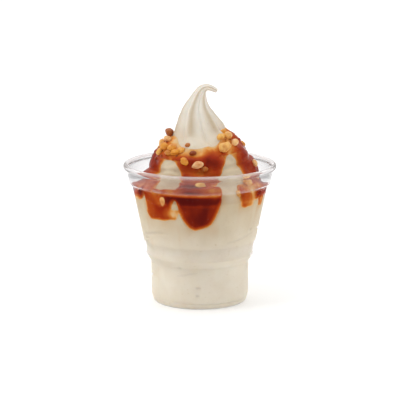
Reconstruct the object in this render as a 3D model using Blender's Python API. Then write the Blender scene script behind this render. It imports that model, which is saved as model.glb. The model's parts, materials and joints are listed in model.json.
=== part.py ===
"""Caramel sundae: soft-serve ice cream in a clear stepped cup, with caramel sauce and chopped peanuts.

Metres, +Z up. The origin is the centre of the ring that the cup stands on, and -Y is the front.
An angle is in degrees round the cup, 0 at the front and rising towards +X, the right-hand side.
A height along the ice cream is measured on its spine, which is upright and bends over at the tip.
"""

import math
import random

import bmesh
import bpy
import numpy as np
from mathutils import Euler, Matrix, Vector

MM = 0.001
GAP = 0.3 * MM  # between two pieces that touch

# The cup: outside radius and height at each corner of the wall, and how round that corner is
CUP_HEIGHT = 84 * MM
RIM_RADIUS = 46 * MM
WALL = 0.6 * MM
CUP_SIDES = 40
LIP_ROUND = 1.6 * MM
STEP_CLEARANCE = 2.6 * MM
RECESS = (23.5 * MM, 1.4 * MM)
FOOT_INSIDE = (24.6 * MM, 0.0)
FOOT_OUTSIDE = (27.8 * MM, 0.0)
LOWER_WALL_FOOT = (29.2 * MM, 5.0 * MM)
LOWER_WALL_TOP = (29.5 * MM, 25.0 * MM)
LEDGE = (33.0 * MM, 30.5 * MM)
UPPER_WALL_FOOT = (33.5 * MM, 36.5 * MM)
UPPER_WALL_TOP = (40.6 * MM, 71.0 * MM)
COLLAR_FOOT = (42.5 * MM, 72.8 * MM)
COLLAR_TOP = (44.0 * MM, 80.2 * MM)
CORNER_ROUND = {
    RECESS: 0.8 * MM,
    FOOT_INSIDE: 0.8 * MM,
    FOOT_OUTSIDE: 2.2 * MM,
    LOWER_WALL_FOOT: 3.0 * MM,
    LOWER_WALL_TOP: 2.0 * MM,
    LEDGE: 2.6 * MM,
    UPPER_WALL_FOOT: 3.0 * MM,
    UPPER_WALL_TOP: 1.2 * MM,
    COLLAR_FOOT: 1.2 * MM,
}

# The ice cream: its radius at heights along the spine, above where it leaves the wall
ICE_SIDES = 48  # a multiple of the ridges, so that each one is drawn alike
POCKET_FOOT = 24.0 * MM
POCKET_DEEPEST = 30.0 * MM
POCKET_TOP = 39.5 * MM
POCKET_RADIUS = 31.9 * MM
DOME_HEIGHTS = np.array([66, 71, 76, 80.5, 85, 89, 92.5, 95.5, 98, 100, 101.8, 104.5]) * MM
DOME_RADII = np.array([39.0, 37.2, 33.5, 30.3, 28.1, 26.4, 24.2, 21.9, 19.1, 16.6, 14.6, 13.0]) * MM
DOME_OFFSET = 1.0 * MM  # the dome sits this far to the right
PEAK_FOOT = 96.0 * MM
PEAK_HEIGHTS = np.array([104.5, 108, 113, 118, 122.5, 126.5, 129.5, 132, 134.5, 136.8, 138.4]) * MM
PEAK_RADII = np.array([13.0, 11.4, 9.1, 6.7, 4.7, 3.3, 2.5, 1.9, 1.6, 1.35, 1.0]) * MM
TIP_HEIGHT = 138.8 * MM

# The spine's lean from upright, towards the right, at heights along it
LEAN_HEIGHTS = np.array([98.0, 102.0, 114.0, 120.0, 125.0, 128.6, 131.0, 133.8, 138.8]) * MM
LEAN_DEGREES = np.array([0.0, -6.0, -4.0, 10.0, 20.0, 36.0, 70.0, 106.0, 120.0])

# The ridges that the star-shaped nozzle leaves, and the groove between two turns of the coil
RIDGES = 6
RIDGE_AT = 13.0
RIDGE_TWIST = 91.0
RIDGE_DEPTH = 0.9 * MM
PEAK_RIDGE_SHARE = 0.17
GROOVE_DEPTH = 1.1 * MM
GROOVE_WIDTH = 3.0 * MM
GROOVE_PITCH = 15.0 * MM
GROOVE_FRONT_HEIGHT = 84.0 * MM

# Lobes where the ice cream swells through the sauce: angle, height, width, rise
MOUNDS = [
    (-37.5, 82.5 * MM, 8.5 * MM, 4.4 * MM),
    (-39.0, 87.0 * MM, 4.0 * MM, -1.8 * MM),
    (36.0, 82.0 * MM, 8.0 * MM, 1.8 * MM),
    (107.0, 84.0 * MM, 8.0 * MM, 2.0 * MM),
    (154.0, 82.0 * MM, 8.0 * MM, 2.2 * MM),
    (-164.0, 83.0 * MM, 8.0 * MM, 2.0 * MM),
    (-110.0, 82.0 * MM, 8.0 * MM, 1.8 * MM),
]

# The sauce: a ring round the foot of the peak that dips in front, and a pool along the wall
SAUCE_THICK = 1.9 * MM
WALL_SAUCE_THICK = 2.2 * MM
EDGE_ROUND = 1.6 * MM
RING_TOP = 101.6 * MM
RING_DIP = 5.7 * MM
RING_DIP_AT = -7.0
RING_DIP_HALF = 44.0
RING_FADE = 4.6 * MM  # how much farther in than elsewhere the ring reaches its full thickness
POOL_TOP = 73.2 * MM
POOL_TILT = 2.2 * MM  # the pool lies this much higher in front and behind, and lower at the sides
POOL_FOOT = 64.0 * MM
POOL_DEPTH = 6.0 * MM
# Where it has run down the wall: angle, half the width in degrees, lowest height, how square
DRIP_BASE = 66.5 * MM
DRIPS = [
    (-1.2, 20.0, 50.4 * MM, 3.0),
    (-38.5, 20.3, 55.0 * MM, 10.0),
    (-73.0, 13.5, 64.6 * MM, 5.0),
    (46.5, 9.8, 62.4 * MM, 6.0),
    (69.0, 6.5, 60.4 * MM, 4.0),
    (88.0, 8.0, 64.5 * MM, 3.0),
    (126.0, 17.0, 53.5 * MM, 2.6),
    (172.0, 13.0, 59.5 * MM, 3.0),
    (-143.0, 16.0, 54.5 * MM, 2.6),
    (-112.0, 12.0, 60.0 * MM, 4.0),
]
# Where the ice cream shows through: angle and half the width at the foot, lowest and highest height,
# how pointed, and how many degrees the top leans over
WINDOWS = [
    (-39.6, 10.4 * MM, 79.0 * MM, 88.8 * MM, 0.42, -1.4),
    (-34.0, 7.8 * MM, 73.0 * MM, 81.0 * MM, 0.2, 0.0),
    (29.8, 9.9 * MM, 76.0 * MM, 92.4 * MM, 0.6, 12.0),
    (28.5, 6.8 * MM, 56.0 * MM, 80.0 * MM, 0.12, 0.0),
    (107.0, 7.0 * MM, 62.0 * MM, 90.0 * MM, 0.5, 6.0),
    (153.0, 7.5 * MM, 60.0 * MM, 91.0 * MM, 0.8, 8.0),
    (-165.0, 6.5 * MM, 63.0 * MM, 88.0 * MM, 0.5, 5.0),
    (-104.0, 6.5 * MM, 78.0 * MM, 89.0 * MM, 0.5, 0.0),
]

# The chopped peanuts in front: angle, height, length, kind, turn in radians on the sauce's face, and how
# far the middle stands off the sauce as a share of the length
NUT_SEED = 5
NUT_LIFT = 0.16
NUT_WIDTHS = [0.92, 0.74, 0.84, 0.56, 0.8, 0.66]  # one for each kind of piece, as a share of its length
SHARP_ANGLE = math.radians(38)
NUTS_IN_FRONT = [
    (-88.0, 101.4 * MM, 8.4 * MM, 3, 0.0, 0.34),
    (-72.5, 97.8 * MM, 6.4 * MM, 5, 0.2, 0.16),
    (-63.0, 94.6 * MM, 6.2 * MM, 0, 0.0, 0.16),
    (-47.0, 94.8 * MM, 5.8 * MM, 2, 0.8, 0.16),
    (-47.5, 91.8 * MM, 5.4 * MM, 3, 0.1, 0.16),
    (-67.5, 91.2 * MM, 4.8 * MM, 1, 1.2, 0.12),
    (-39.0, 92.8 * MM, 5.2 * MM, 4, 0.5, 0.16),
    (-32.5, 94.8 * MM, 5.4 * MM, 1, 0.3, 0.16),
    (-21.0, 88.4 * MM, 6.2 * MM, 5, -0.7, 0.16),
    (-4.0, 87.4 * MM, 7.8 * MM, 3, 0.05, 0.16),
    (3.5, 85.2 * MM, 4.4 * MM, 4, 0.4, 0.1),
    (37.0, 95.6 * MM, 7.6 * MM, 0, 0.0, 0.16),
    (58.5, 96.4 * MM, 5.6 * MM, 1, 0.2, 0.16),
    (54.0, 99.0 * MM, 6.0 * MM, 2, 0.5, 0.16),
    (39.0, 99.4 * MM, 5.0 * MM, 4, 0.0, 0.16),
    (64.0, 101.4 * MM, 5.0 * MM, 2, 0.3, 0.16),
    (80.0, 97.4 * MM, 4.4 * MM, 4, 0.0, 0.1),
    (82.5, 83.2 * MM, 4.8 * MM, 1, 1.3, 0.16),
    (0.5, 74.0 * MM, 6.6 * MM, 5, 0.1, 0.08),
    (51.0, 75.6 * MM, 7.4 * MM, 1, 0.0, 0.16),
]
# Those behind, in groups: angle, height, how far they spread in degrees and in height, how many, length
NUT_GROUPS = [
    (128.0, 96.0 * MM, 16.0, 4.0 * MM, 4, 5.6 * MM),
    (178.0, 97.0 * MM, 18.0, 3.5 * MM, 4, 5.4 * MM),
    (-140.0, 94.0 * MM, 14.0, 5.0 * MM, 4, 5.8 * MM),
    (-104.0, 97.0 * MM, 10.0, 3.5 * MM, 3, 5.2 * MM),
    (118.0, 84.0 * MM, 8.0, 3.0 * MM, 2, 5.0 * MM),
    (140.0, 84.0 * MM, 8.0, 3.0 * MM, 1, 5.4 * MM),
    (-175.0, 86.0 * MM, 10.0, 3.0 * MM, 1, 5.0 * MM),
]

# Colours and how shiny each material is
CUP_COLOUR = (0.94, 0.96, 0.96, 1.0)
ICE_CREAM_COLOUR = (0.83, 0.76, 0.62, 1.0)
CARAMEL_COLOUR = (0.34, 0.075, 0.018, 1.0)
CUP_ROUGHNESS = 0.06
ICE_CREAM_ROUGHNESS = 0.45
CARAMEL_ROUGHNESS = 0.16


def smoothstep(low, high, x):
    share = np.clip((x - low) / (high - low), 0.0, 1.0)
    return share * share * (3.0 - 2.0 * share)


def through(x, stations, values):
    """A smooth curve through the values at the stations, read at x."""
    slopes = np.gradient(values, stations)
    i = np.clip(np.searchsorted(stations, x, side="right") - 1, 0, len(stations) - 2)
    span = stations[i + 1] - stations[i]
    u = np.clip((x - stations[i]) / span, 0.0, 1.0)
    start = (1 + 2 * u) * (1 - u) ** 2 * values[i] + u * (1 - u) ** 2 * span * slopes[i]
    return start + u * u * (3 - 2 * u) * values[i + 1] + u * u * (u - 1) * span * slopes[i + 1]


def turn_between(a, b):
    """The angle from b to a in degrees, from -180 to 180."""
    return (a - b + 180.0) % 360.0 - 180.0


def lower_of(a, b, width):
    """The lesser of a and b, with the corner between them rounded over width."""
    share = np.clip(0.5 - 0.5 * (a - b) / width, 0.0, 1.0)
    return b + (a - b) * share - width * share * (1 - share)


def material(name, colour, roughness):
    made = bpy.data.materials.new(name)
    made.use_nodes = True
    shader = made.node_tree.nodes["Principled BSDF"]
    shader.inputs["Base Color"].default_value = colour
    shader.inputs["Roughness"].default_value = roughness
    made.diffuse_color = colour
    return made


# The cup


def rounded(corners, steps=1):
    """The outline through the corners, with an arc at each one that CORNER_ROUND names."""
    outline = [np.array(corners[0])]
    for before, corner, after in zip(corners, corners[1:], corners[2:]):
        here = np.array(corner)
        back = np.array(before) - here
        on = np.array(after) - here
        reach_back, reach_on = np.linalg.norm(back), np.linalg.norm(on)
        back, on = back / reach_back, on / reach_on
        half = math.acos(np.clip(back @ on, -1.0, 1.0)) / 2
        radius = CORNER_ROUND.get(corner, 0.0)
        cut = min(radius / math.tan(half), 0.45 * reach_back, 0.45 * reach_on)
        if cut < 1e-6:
            outline.append(here)
            continue
        middle = back + on
        centre = here + middle / np.linalg.norm(middle) * (cut / math.cos(half))
        first, last = here + back * cut - centre, here + on * cut - centre
        sweep = math.acos(np.clip(first @ last / (first @ first), -1.0, 1.0))
        for k in range(steps + 1):
            share = k / steps
            mixed = math.sin((1 - share) * sweep) * first + math.sin(share * sweep) * last
            outline.append(centre + mixed / math.sin(sweep))
    outline.append(np.array(corners[-1]))
    return np.array(outline)


def wall_outline():
    """The outside of the cup, from the middle of its base up to the lip."""
    corners = [(0.0, RECESS[1]), RECESS, FOOT_INSIDE, FOOT_OUTSIDE, LOWER_WALL_FOOT, LOWER_WALL_TOP]
    corners += [LEDGE, UPPER_WALL_FOOT, UPPER_WALL_TOP, COLLAR_FOOT, COLLAR_TOP]
    return rounded(corners)


def inset(outline, depth):
    """The outline moved in by depth, square to its own line."""
    along = np.gradient(outline, axis=0)
    along /= np.linalg.norm(along, axis=1)[:, None]
    inward = np.stack([-along[:, 1], along[:, 0]], axis=1)
    moved = outline + inward * depth
    moved[0, 0] = 0.0
    return moved


def lip_outline(steps=6):
    """The rolled lip, from its outside foot over the top to the inside of the wall."""
    centre = np.array([RIM_RADIUS - LIP_ROUND, CUP_HEIGHT - LIP_ROUND])
    angles = np.radians(np.linspace(-80.0, 150.0, steps))
    return centre + LIP_ROUND * np.stack([np.cos(angles), np.sin(angles)], axis=1)


def inner_wall():
    """Radii and heights of the inside of the wall, rising."""
    inside = inset(wall_outline(), WALL)
    keep = np.concatenate([[True], np.diff(inside[:, 1]) > 1e-7])
    keep &= inside[:, 0] > RECESS[0]
    return inside[keep, 0], inside[keep, 1]


def inside_radius(height):
    radii, heights = inner_wall()
    return np.interp(height, heights, radii)


def room_radius(height):
    """As inside_radius, but less beside the step under the collar, so that no row cuts its corner."""
    beside_step = np.abs(height - COLLAR_FOOT[1]) < 3.5 * MM
    return inside_radius(np.where(beside_step, height - STEP_CLEARANCE, height))


def turned(name, outline, sides):
    """A turned piece from an outline of radii and heights that starts and ends on the axis."""
    mesh = bpy.data.meshes.new(name)
    points = [(radius, 0.0, height) for radius, height in outline]
    mesh.from_pydata(points, [(i, i + 1) for i in range(len(points) - 1)], [])
    piece = bpy.data.objects.new(name, mesh)
    bpy.context.scene.collection.objects.link(piece)
    screw = piece.modifiers.new("turn", "SCREW")
    screw.axis = "Z"
    screw.steps = screw.render_steps = sides
    screw.use_merge_vertices = True
    screw.merge_threshold = 0.00005
    return piece


def cup():
    outside = wall_outline()
    inside = inset(outside, WALL)
    outline = np.concatenate([inside, lip_outline()[::-1], outside[::-1]])
    piece = turned("cup", outline, CUP_SIDES)
    plastic = material("clear_plastic", CUP_COLOUR, CUP_ROUGHNESS)
    shader = plastic.node_tree.nodes["Principled BSDF"]
    shader.inputs["Transmission Weight"].default_value = 1.0
    shader.inputs["IOR"].default_value = 1.5
    piece.data.materials.append(plastic)
    return piece


# The ice cream


def spine(height):
    """The spine's middle (x, z) and its lean in radians, at each height along it."""
    along = np.linspace(0.0, TIP_HEIGHT, 1400)
    lean = np.where(
        along > LEAN_HEIGHTS[0], np.radians(through(along, LEAN_HEIGHTS, LEAN_DEGREES)), 0.0
    )
    step = along[1] - along[0]
    x = np.cumsum(np.sin(lean)) * step
    z = np.concatenate([[0.0], np.cumsum(np.cos(lean))[:-1]]) * step
    return np.interp(height, along, x), np.interp(height, along, z), np.interp(height, along, lean)


def fill_radius(height):
    """The ice cream's radius inside the cup, with the empty pocket that it leaves above the ledge."""
    pressed = inside_radius(height) - GAP
    below = smoothstep(POCKET_FOOT, POCKET_DEEPEST, height)
    above = smoothstep(POCKET_TOP, POCKET_DEEPEST + 2 * MM, height)
    free = pressed + (POCKET_RADIUS - pressed) * np.minimum(below, above)
    return np.minimum(pressed, free)


def profile(height):
    """The ice cream's radius at a height along the spine, before its ridges."""
    low, high = DOME_HEIGHTS[0], DOME_HEIGHTS[-1]
    dome = through(height, DOME_HEIGHTS, DOME_RADII)
    peak = through(height, PEAK_HEIGHTS, PEAK_RADII)
    return np.where(height < low, fill_radius(height), np.where(height < high, dome, peak))


def ice_heights():
    """The height of each ring of the ice cream's surface, above its base."""
    fill = [1.8, 5.6, 23.8, 25.6, 28.0, 31.5, 37.0] + list(np.arange(48.0, 64.0, 2.9))
    dome = list(np.arange(66.0, 90.0, 2.5)) + [91.0, 93.4, 95.6, 97.6, 99.4, 101.0, 102.8]
    peak = [105.5, 109.5, 114, 118.5, 122.5, 126, 128.6, 130.4, 131.8, 134.0, 136.4, 138.4]
    return np.array(fill + dome + peak) * MM


def twist(height):
    return RIDGE_TWIST * smoothstep(62 * MM, 106 * MM, height)


def ridges(angle, height):
    """From -1 in the valleys to 1 on the ridges that the nozzle leaves."""
    phase = np.radians(RIDGES * (angle - RIDGE_AT + twist(height))) / 2
    return 2.0 * (np.cos(phase) ** 2 + 0.02) ** 0.45 - 1.0


def ridge_depth(radius, height):
    on_dome = smoothstep(68 * MM, 80 * MM, height) * (1 - smoothstep(90 * MM, 102 * MM, height))
    peak = PEAK_RIDGE_SHARE * radius * smoothstep(92 * MM, 104 * MM, height)
    return RIDGE_DEPTH * on_dome + peak


def groove(angle, height):
    """How deep the groove between two turns of the coil is here."""
    turns = (height - GROOVE_FRONT_HEIGHT) / GROOVE_PITCH - angle / 360.0
    away = (turns - np.round(turns)) * GROOVE_PITCH
    on_dome = smoothstep(72 * MM, 78 * MM, height) * (1 - smoothstep(92 * MM, 97 * MM, height))
    return GROOVE_DEPTH * on_dome * np.exp(-((2 * away / GROOVE_WIDTH) ** 2))


def mounds(angle, height, radius):
    """How far the lobes swell here."""
    rise = np.zeros_like(radius)
    for middle, level, width, high in MOUNDS:
        across = np.radians(turn_between(angle, middle)) * radius
        rise = rise + high * np.exp(-((across / width) ** 2 + ((height - level) / width) ** 2) * 1.4)
    return rise * smoothstep(70 * MM, 76 * MM, height)


# The sauce


def drip_line(angle):
    """The height that the sauce has run down to."""
    line = np.full_like(angle, DRIP_BASE)
    for middle, half, low, square in DRIPS:
        off = np.minimum(np.abs(turn_between(angle, middle)) / half, 1.6)
        line = lower_of(line, low + (DRIP_BASE - low) * off**square, 1.5 * MM)
    uneven = 0.45 * np.sin(np.radians(11 * angle + 30)) + 0.35 * np.sin(np.radians(23 * angle))
    return line + uneven * MM


def coverage(angle, height, radius):
    """Above zero where the sauce lies."""
    cover = height - drip_line(angle)
    for middle, half, low, high, pointed, lean in WINDOWS:
        up = np.clip((high - height) / (high - low), 0.0, 1.4)
        centre = middle + lean * np.sqrt(np.maximum(1 - up, 0.0))
        away = np.abs(np.radians(turn_between(angle, centre))) * radius
        outside = np.maximum(away - half * up**pointed, height - high)
        outside = np.maximum(outside, low - height)
        cover = lower_of(cover, outside, 1.6 * MM)
    dip = np.exp(-((np.abs(turn_between(angle, RING_DIP_AT)) / RING_DIP_HALF) ** 3))
    wave = 0.5 * np.sin(np.radians(5 * angle + 40)) + 0.4 * np.sin(np.radians(9 * angle - 20))
    top = RING_TOP - RING_DIP * dip + wave * MM
    return lower_of(cover, top - height, 1.5 * MM)


def sauce_depth(angle, height, radius):
    """The sauce's thickness, which falls below zero outside its edge."""
    step = 0.25 * MM
    here = coverage(angle, height, radius)
    across = (coverage(angle + np.degrees(step / radius), height, radius) - here) / step
    up = (coverage(angle, height + step, radius) - here) / step
    reach = here / np.maximum(np.hypot(across, up), 0.5)
    full = SAUCE_THICK + (WALL_SAUCE_THICK - SAUCE_THICK) * (1 - smoothstep(70 * MM, 78 * MM, height))
    edge = EDGE_ROUND + RING_FADE * smoothstep(88 * MM, 95 * MM, height)
    return full * np.tanh(np.maximum(reach, -2 * EDGE_ROUND) / edge)


def pool_depth(depth, angle, height):
    """What the sauce gains where it fills the gap between the ice cream and the wall."""
    top = POOL_TOP + POOL_TILT * np.cos(np.radians(2 * angle))
    above = smoothstep(POOL_FOOT, POOL_FOOT + 5 * MM, height)
    below = 1 - smoothstep(top - 4.0 * MM, top + 2.0 * MM, height)
    return POOL_DEPTH * above * below * np.clip(depth / SAUCE_THICK, 0.0, 1.0)


def recess(depth, height):
    """How far the ice cream stands back from the wall to leave room for the sauce."""
    return np.maximum(depth, 0.0) * (1 - smoothstep(66 * MM, 74 * MM, height))


def surface(angle, height, layer="ice_cream"):
    """Points on the ice cream, on the sauce over it, or on the core that the sauce is hollowed with."""
    radius = profile(height)
    step = 0.2 * MM
    slope = (profile(height + step) - profile(height - step)) / (2 * step)
    out_h = -slope / np.hypot(slope, 1.0)
    out_r = 1.0 / np.hypot(slope, 1.0)
    depth = sauce_depth(angle, height, radius)
    shift = ridge_depth(radius, height) * ridges(angle, height) - groove(angle, height)
    shift = shift + mounds(angle, height, radius) - recess(depth, height)
    if layer != "ice_cream":
        shift = shift + GAP
    if layer == "caramel_sauce":
        shift = shift + depth + pool_depth(depth, angle, height)
    radius = radius + shift * out_r
    over = height + shift * out_h
    limit = inside_radius(over) if layer == "core" else room_radius(over) - GAP
    radius = np.where(over < CUP_HEIGHT, np.minimum(radius, limit), radius)
    x0, z0, lean = spine(over)
    on_dome = smoothstep(72 * MM, 82 * MM, height) * (1 - smoothstep(96 * MM, 104 * MM, height))
    side = radius * np.sin(np.radians(angle))
    x = x0 + DOME_OFFSET * on_dome + side * np.cos(lean)
    y = -radius * np.cos(np.radians(angle))
    return np.stack([x, y, z0 - side * np.sin(lean)], axis=-1)


def ring_angles():
    return RIDGE_AT + np.arange(ICE_SIDES) * 360.0 / ICE_SIDES


def rings_of(heights, layer="ice_cream"):
    """The rings at these heights. On the peak they turn, so that their points follow the ridges."""
    angle, height = np.meshgrid(ring_angles(), heights)
    return surface(angle - twist(np.maximum(height, PEAK_FOOT)), height, layer)


def skin(name, rings, foot, top):
    """A closed body from rings of points, with a point in the middle of each end."""
    count, sides = rings.shape[:2]
    points = [tuple(p) for p in rings.reshape(-1, 3)] + [tuple(foot), tuple(top)]
    foot_at, top_at = count * sides, count * sides + 1
    faces = []
    for j in range(sides):
        k = (j + 1) % sides
        for i in range(count - 1):
            low, low_next = i * sides + j, i * sides + k
            high, high_next = low + sides, low_next + sides
            faces.append((low, low_next, high))
            faces.append((low_next, high_next, high))
        faces.append((foot_at, k, j))
        faces.append((top_at, (count - 1) * sides + j, (count - 1) * sides + k))
    mesh = bpy.data.meshes.new(name)
    mesh.from_pydata(points, [], faces)
    mesh.shade_smooth()
    piece = bpy.data.objects.new(name, mesh)
    bpy.context.scene.collection.objects.link(piece)
    return piece


def ice_cream():
    floor = RECESS[1] + WALL + GAP
    turn = np.radians(ring_angles() - twist(PEAK_FOOT))
    base = []
    for wide, level in [(24.0 * MM, floor), (25.7 * MM, 1.1 * MM), (26.2 * MM, 1.1 * MM)]:
        base.append(np.stack([wide * np.sin(turn), -wide * np.cos(turn), level + 0 * turn], axis=-1))
    rings = np.concatenate([np.array(base), rings_of(ice_heights())])
    x, z, _ = spine(TIP_HEIGHT)
    piece = skin("ice_cream", rings, (0.0, 0.0, floor), (float(x), 0.0, float(z)))
    cream = material("vanilla_ice_cream", ICE_CREAM_COLOUR, ICE_CREAM_ROUGHNESS)
    piece.data.materials.append(cream)
    return piece


def layer_body(name, low, high):
    heights = ice_heights()
    rings = rings_of(heights[(heights > low) & (heights < high)], name)
    return skin(name, rings, (0.0, 0.0, rings[0, :, 2].mean()), (0.0, 0.0, rings[-1, :, 2].mean()))


# The chopped peanuts


def chopped_nut(name, kind):
    """A chopped piece of peanut of unit length: a flattened ball with one to three broken faces."""
    chance = random.Random(kind)
    shape = bmesh.new()
    bmesh.ops.create_icosphere(shape, subdivisions=1, radius=0.5)
    tall = chance.uniform(0.6, 0.75)
    for point in shape.verts:
        point.co = Vector((point.co.x, point.co.y * NUT_WIDTHS[kind], point.co.z * tall))
    for _ in range(chance.choice((1, 2, 2, 3))):
        way = Vector([chance.gauss(0, 1) for _ in range(3)]).normalized()
        face_at = way * chance.uniform(0.2, 0.34)
        for point in shape.verts:
            past = (point.co - face_at).dot(way)
            if past > 0:
                point.co -= way * past * 0.93
    mesh = bpy.data.meshes.new(name)
    shape.to_mesh(mesh)
    shape.free()
    return bpy.data.objects.new(name, mesh)


def laid(angle, height, length, kind, spin, lift, chance):
    """Where a nut lies on the sauce: its middle, turn, length and kind."""
    angles = np.array([angle, angle + 1.0, angle])
    heights = np.array([height, height, height + 0.3 * MM])
    here, beside, above = [Vector(p) for p in surface(angles, heights, "caramel_sauce")]
    across = (beside - here).normalized()
    outward = across.cross(above - here).normalized()
    lie = Matrix((across, outward.cross(across), outward)).transposed()
    lean = Euler((chance.uniform(-0.35, 0.35), chance.uniform(-0.35, 0.35), spin))
    turn = (lie @ lean.to_matrix()).to_euler()
    return here + outward * lift * length, turn, length, kind


def nut_places():
    chance = random.Random(NUT_SEED)
    placed = [laid(*nut, chance) for nut in NUTS_IN_FRONT]
    for angle, height, spread, rise, count, length in NUT_GROUPS:
        for _ in range(count):
            for _ in range(60):
                at = angle + chance.uniform(-spread, spread)
                up = height + chance.uniform(-rise, rise)
                size = length * chance.uniform(0.75, 1.2)
                kind = chance.randrange(len(NUT_WIDTHS))
                nut = laid(at, up, size, kind, chance.uniform(0.0, 6.28), NUT_LIFT, chance)
                if all((nut[0] - other[0]).length > 0.42 * (nut[2] + other[2]) for other in placed):
                    break
            placed.append(nut)
    return placed


def nuts():
    """A collection of chopped peanuts, each partly sunk in the sauce."""
    group = bpy.data.collections.new("nuts")
    bpy.context.scene.collection.children.link(group)
    for number, (middle, turn, length, kind) in enumerate(nut_places()):
        piece = chopped_nut(f"nut_{number}", kind)
        piece.data.transform(Matrix.LocRotScale(middle, turn, Vector((length,) * 3)))
        group.objects.link(piece)
    return group


def apply_boolean(piece, operation, other):
    """Joins another object or a collection to the piece, or cuts it away, and removes that other one."""
    join = piece.modifiers.new("join", "BOOLEAN")
    join.operation = operation
    join.solver = "MANIFOLD"
    if isinstance(other, bpy.types.Collection):
        join.operand_type = "COLLECTION"
        join.collection = other
        done_with = list(other.objects)
    else:
        join.object = other
        done_with = [other]
    bpy.context.view_layer.update()
    graph = bpy.context.evaluated_depsgraph_get()
    mesh = bpy.data.meshes.new_from_object(piece.evaluated_get(graph))
    piece.modifiers.clear()
    piece.data = mesh
    for used in done_with:
        bpy.data.objects.remove(used)


def keep_largest(piece):
    """Removes every loose scrap, also one that hangs on by a point, and leaves the one large body."""
    shape = bmesh.new()
    shape.from_mesh(piece.data)
    bmesh.ops.remove_doubles(shape, verts=shape.verts, dist=0.001 * MM)
    left, bodies = set(shape.faces), []
    while left:
        body, reached = [], [left.pop()]
        while reached:
            face = reached.pop()
            body.append(face)
            near = {other for edge in face.edges for other in edge.link_faces} & left
            left -= near
            reached.extend(near)
        bodies.append(body)
    bodies.sort(key=len)
    for body in bodies[:-1]:
        bmesh.ops.delete(shape, geom=body, context="FACES")
    shape.to_mesh(piece.data)
    shape.free()


def caramel_sauce():
    sauce = layer_body("caramel_sauce", 47 * MM, 104 * MM)
    apply_boolean(sauce, "UNION", nuts())
    apply_boolean(sauce, "DIFFERENCE", layer_body("core", 40 * MM, 117 * MM))
    keep_largest(sauce)
    sauce.data.materials.clear()
    sauce.data.materials.append(material("caramel", CARAMEL_COLOUR, CARAMEL_ROUGHNESS))
    sauce.data.shade_smooth()
    sauce.data.set_sharp_from_angle(angle=SHARP_ANGLE)
    return sauce


def main():
    for piece in list(bpy.data.objects):
        bpy.data.objects.remove(piece)
    cup()
    ice_cream()
    caramel_sauce()


main()
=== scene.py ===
import json
import math
import random

import bmesh
import bpy
import numpy as np
from mathutils import Euler, Matrix, Vector
from mathutils.bvhtree import BVHTree

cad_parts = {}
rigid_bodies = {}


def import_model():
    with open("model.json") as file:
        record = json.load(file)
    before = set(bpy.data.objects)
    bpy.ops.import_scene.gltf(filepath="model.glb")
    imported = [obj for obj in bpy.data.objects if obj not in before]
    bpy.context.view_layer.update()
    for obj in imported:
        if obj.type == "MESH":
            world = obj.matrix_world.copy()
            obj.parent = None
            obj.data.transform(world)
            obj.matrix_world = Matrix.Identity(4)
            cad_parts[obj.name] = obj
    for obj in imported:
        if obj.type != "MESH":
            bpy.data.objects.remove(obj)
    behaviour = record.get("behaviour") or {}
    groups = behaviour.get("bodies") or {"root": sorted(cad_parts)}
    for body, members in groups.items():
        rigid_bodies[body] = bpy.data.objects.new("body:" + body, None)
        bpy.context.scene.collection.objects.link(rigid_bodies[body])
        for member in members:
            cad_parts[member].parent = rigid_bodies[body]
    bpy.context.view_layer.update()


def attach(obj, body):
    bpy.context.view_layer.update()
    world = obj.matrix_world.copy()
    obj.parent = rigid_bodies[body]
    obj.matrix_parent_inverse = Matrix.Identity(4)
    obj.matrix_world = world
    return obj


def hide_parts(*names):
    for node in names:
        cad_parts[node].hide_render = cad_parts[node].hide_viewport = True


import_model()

# Metres, +Z up, the front towards -Y.
# Angles are in degrees round the cup, 0 at the front, rising to the right.
MM = 0.001


def metres(columns, rows):
    """The rows of a table, with these columns of it turned from millimetres into metres."""
    return [tuple(v * MM if i in columns else v for i, v in enumerate(row)) for row in rows]


# ---- sizes shared with the solids

CUP_HEIGHT = 84 * MM
RIM_RADIUS = 45.9 * MM
WALL = 0.6 * MM
LIP_ROUND = 1.6 * MM
# Corners of the cup's outline, outside: radius and height
RECESS = (23.5 * MM, 1.4 * MM)
FOOT_INSIDE = (24.6 * MM, 0.0)
FOOT_OUTSIDE = (27.8 * MM, 0.0)
LOWER_WALL_FOOT = (29.2 * MM, 5.0 * MM)
LOWER_WALL_TOP = (29.5 * MM, 25.0 * MM)
LEDGE = (33.0 * MM, 30.5 * MM)
UPPER_WALL_FOOT = (33.5 * MM, 36.5 * MM)
UPPER_WALL_TOP = (40.6 * MM, 71.0 * MM)
COLLAR_FOOT = (42.5 * MM, 72.8 * MM)
COLLAR_TOP = (44.0 * MM, 80.2 * MM)
# The rounding of those corners
CORNER_ROUND = {
    RECESS: 0.8 * MM,
    FOOT_INSIDE: 0.8 * MM,
    FOOT_OUTSIDE: 2.2 * MM,
    LOWER_WALL_FOOT: 3.0 * MM,
    LOWER_WALL_TOP: 2.0 * MM,
    LEDGE: 2.6 * MM,
    UPPER_WALL_FOOT: 3.0 * MM,
    UPPER_WALL_TOP: 1.2 * MM,
    COLLAR_FOOT: 1.2 * MM,
}
CUP_SIDES = 176
CORNER_STEPS = 6
LIP_STEPS = 22
LIP_ARC = (150.0, -80.0)  # its arc, from inside the cup to outside, in degrees
INTO_WALL = 0.15 * MM  # how far what fills the cup reaches into its wall

# At the ledge the ice cream stands back from the wall
POCKET_FOOT = 24.0 * MM
POCKET_DEEPEST = 30.0 * MM
POCKET_FLAT = 2.0 * MM  # how far up it stays so deep
POCKET_TOP = 39.5 * MM
POCKET_RADIUS = 31.9 * MM
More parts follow.
